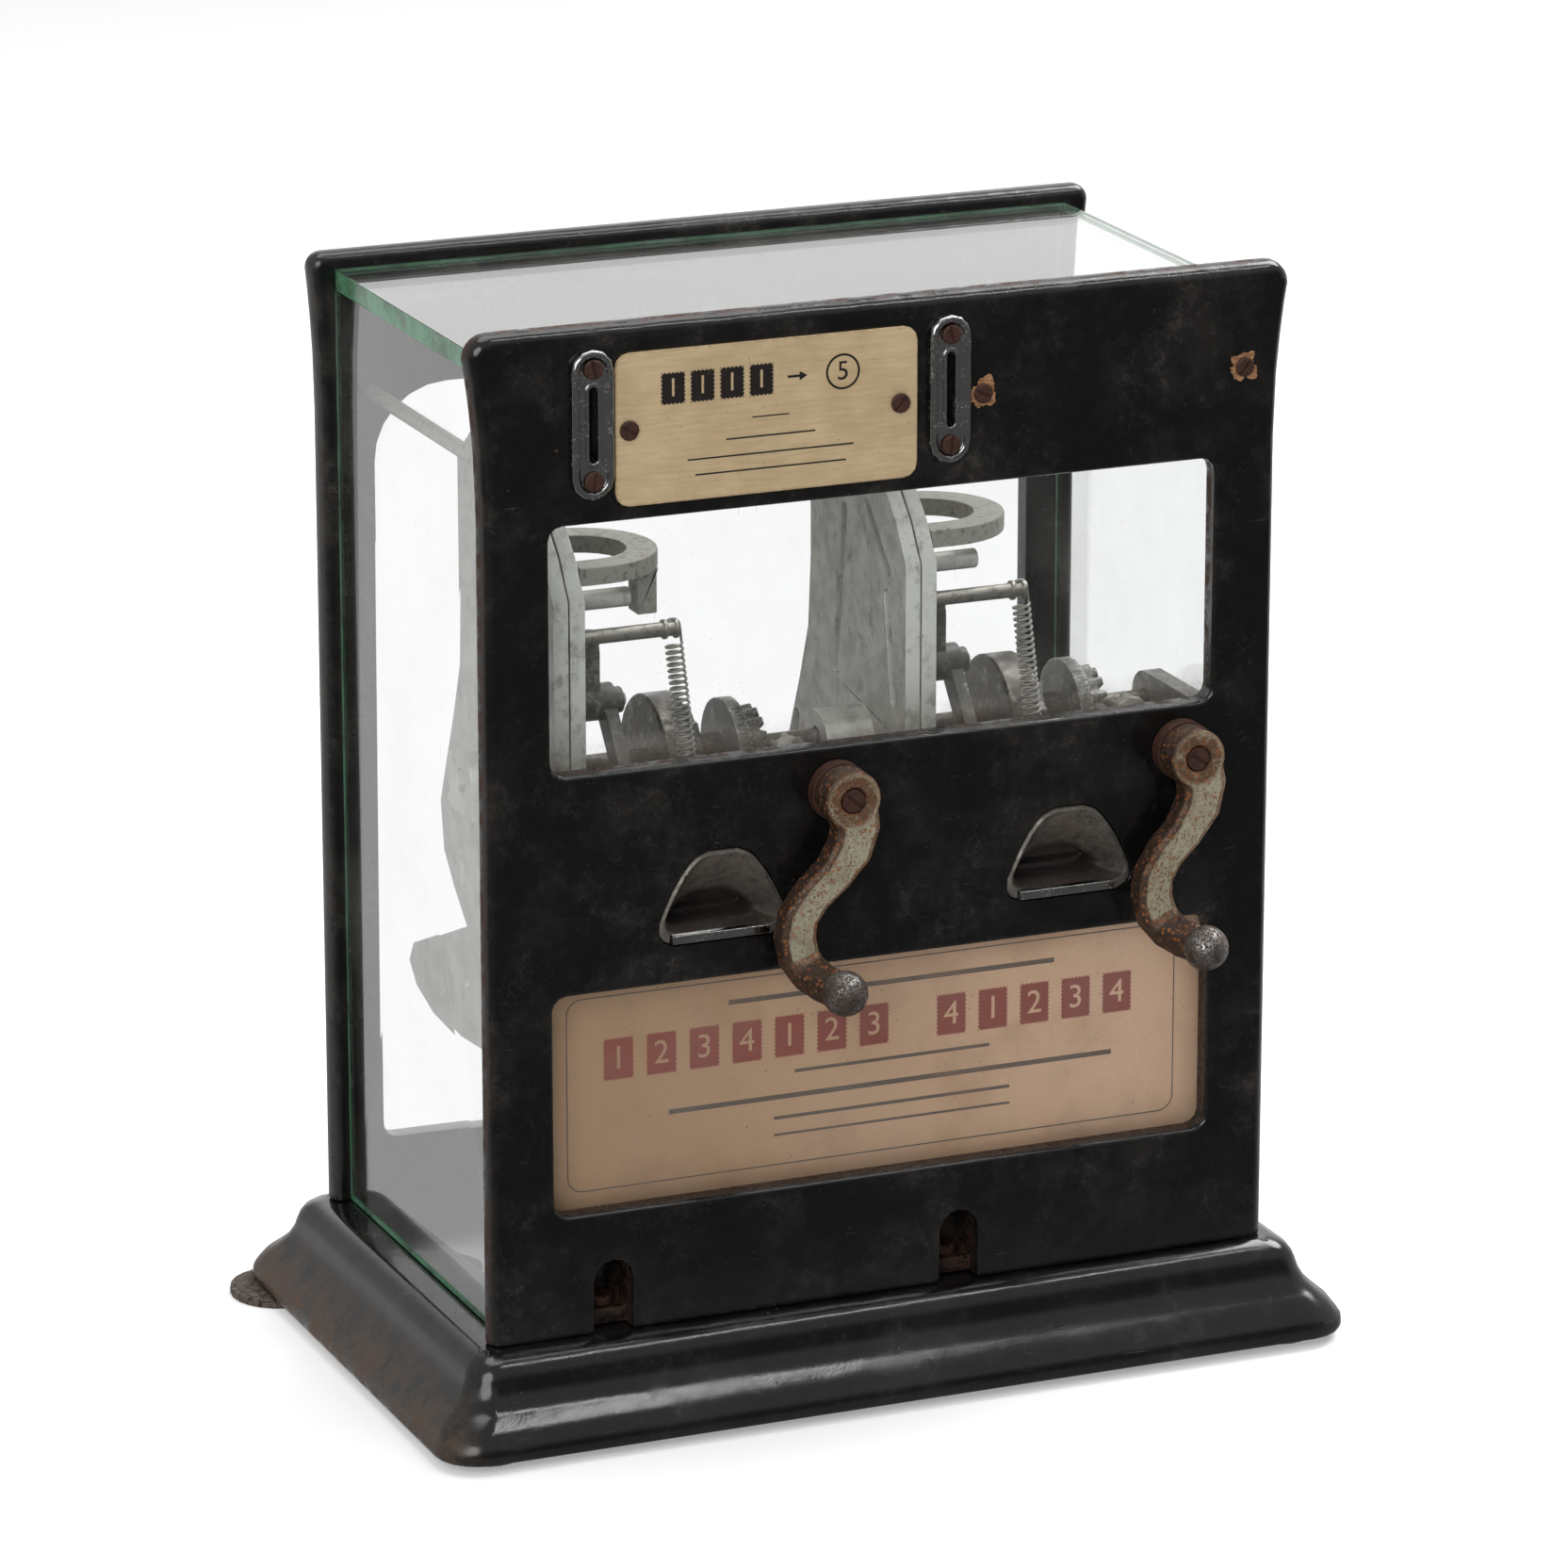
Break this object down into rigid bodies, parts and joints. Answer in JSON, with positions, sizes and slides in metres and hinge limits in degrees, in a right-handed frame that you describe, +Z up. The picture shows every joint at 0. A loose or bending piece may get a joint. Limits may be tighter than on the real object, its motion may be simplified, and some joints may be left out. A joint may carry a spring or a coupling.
{
  "type": "postage stamp vending machine",
  "caption": "Counter-top stamp machine: glass case between black iron castings on a moulded base, with cranks, coin slots, stamp outlets and the works inside.",
  "frame": {"origin": "centre of the bounding box's underside, on the table under the feet", "axes": "+X to the right seen from the front, +Y towards the back, +Z up"},
  "size_m": [0.3162, 0.2094, 0.3495],
  "materials": {
    "enamel": "glossy black enamel on cast iron, chipped at the edges",
    "glass": "clear plate glass with green edges",
    "card": "faded card behind glass",
    "backing": "rusted sheet steel",
    "tan_plate": "cream paint, worn brown at the edges",
    "chrome": "pitted chrome plate",
    "nickel": "worn nickel plate with rust speckle",
    "pot_metal": "dull grey die-cast metal",
    "steel": "dull steel",
    "rust": "rusted steel",
    "rubber": "old cracked rubber"
  },
  "bodies": {
    "case": {"base_casting": "enamel", "foot_front_left": "rubber", "foot_front_right": "rubber", "foot_rear_left": "rubber", "foot_rear_right": "rubber", "front_casting": "enamel", "back_casting": "enamel", "left_glass": "glass", "right_glass": "glass", "top_glass": "glass", "window_glass": "glass", "sign_glass": "glass", "sign_card": "card", "sign_backing": "backing", "tie_rod_left": "steel", "tie_rod_right": "steel", "price_plate": "tan_plate", "price_plate_screw_left": "rust", "price_plate_screw_right": "rust", "spare_screw_left": "rust", "spare_screw_right": "rust", "base_screw_left": "rust", "base_screw_right": "rust", "shaft_bracket_right": "pot_metal", "coin_plate_left": "chrome", "coin_plate_screw_top_left": "rust", "coin_plate_screw_bottom_left": "rust", "outlet_left": "nickel", "tear_bar_left": "chrome", "crank_bush_left": "steel", "chute_inner_left": "pot_metal", "chute_outer_left": "pot_metal", "slug_magnet_left": "steel", "spring_post_left": "steel", "spring_left": "chrome", "coin_plate_right": "chrome", "coin_plate_screw_top_right": "rust", "coin_plate_screw_bottom_right": "rust", "outlet_right": "nickel", "tear_bar_right": "chrome", "crank_bush_right": "steel", "chute_inner_right": "pot_metal", "chute_outer_right": "pot_metal", "slug_magnet_right": "steel", "spring_post_right": "steel", "spring_right": "chrome"},
    "crank_left": {"crank_arm_left": "nickel", "crank_screw_left": "rust", "crank_shaft_left": "steel"},
    "feed_left": {"feed_shaft_left": "steel", "feed_drum_left": "steel", "bevel_gear_left": "pot_metal"},
    "lever_left": {"coin_lever_left": "pot_metal"},
    "crank_right": {"crank_arm_right": "nickel", "crank_screw_right": "rust", "crank_shaft_right": "steel"},
    "feed_right": {"feed_shaft_right": "steel", "feed_drum_right": "steel", "bevel_gear_right": "pot_metal"},
    "lever_right": {"coin_lever_right": "pot_metal"}
  },
  "joints": [
    {"name": "crank_left_turn", "type": "hinge", "parent": "case", "child": "crank_left", "pos_m": [-0.0129, -0.0678, 0.1978], "axis": [0, 1, 0], "continuous": true},
    {"name": "feed_left_turn", "type": "hinge", "parent": "case", "child": "feed_left", "pos_m": [-0.0921, -0.0148, 0.1978], "axis": [1, 0, 0], "continuous": true},
    {"name": "lever_left_swing", "type": "hinge", "parent": "case", "child": "lever_left", "pos_m": [-0.0921, -0.0178, 0.219], "axis": [1, 0, 0], "range_deg": [0, 10], "stiffness_Nm_per_rad": 0.3, "springref_deg": -11.46, "deforming": ["spring_left"]},
    {"name": "crank_right_turn", "type": "hinge", "parent": "case", "child": "crank_right", "pos_m": [0.1031, -0.0678, 0.1978], "axis": [0, 1, 0], "continuous": true},
    {"name": "feed_right_turn", "type": "hinge", "parent": "case", "child": "feed_right", "pos_m": [0.0239, -0.0148, 0.1978], "axis": [1, 0, 0], "continuous": true},
    {"name": "lever_right_swing", "type": "hinge", "parent": "case", "child": "lever_right", "pos_m": [0.0239, -0.0178, 0.219], "axis": [1, 0, 0], "range_deg": [0, 10], "stiffness_Nm_per_rad": 0.3, "springref_deg": -11.46, "deforming": ["spring_right"]}
  ],
  "couplings": [
    {"joint": "feed_left_turn", "follows": "crank_left_turn", "ratio": -0.5},
    {"joint": "feed_right_turn", "follows": "crank_right_turn", "ratio": -0.5}
  ]
}
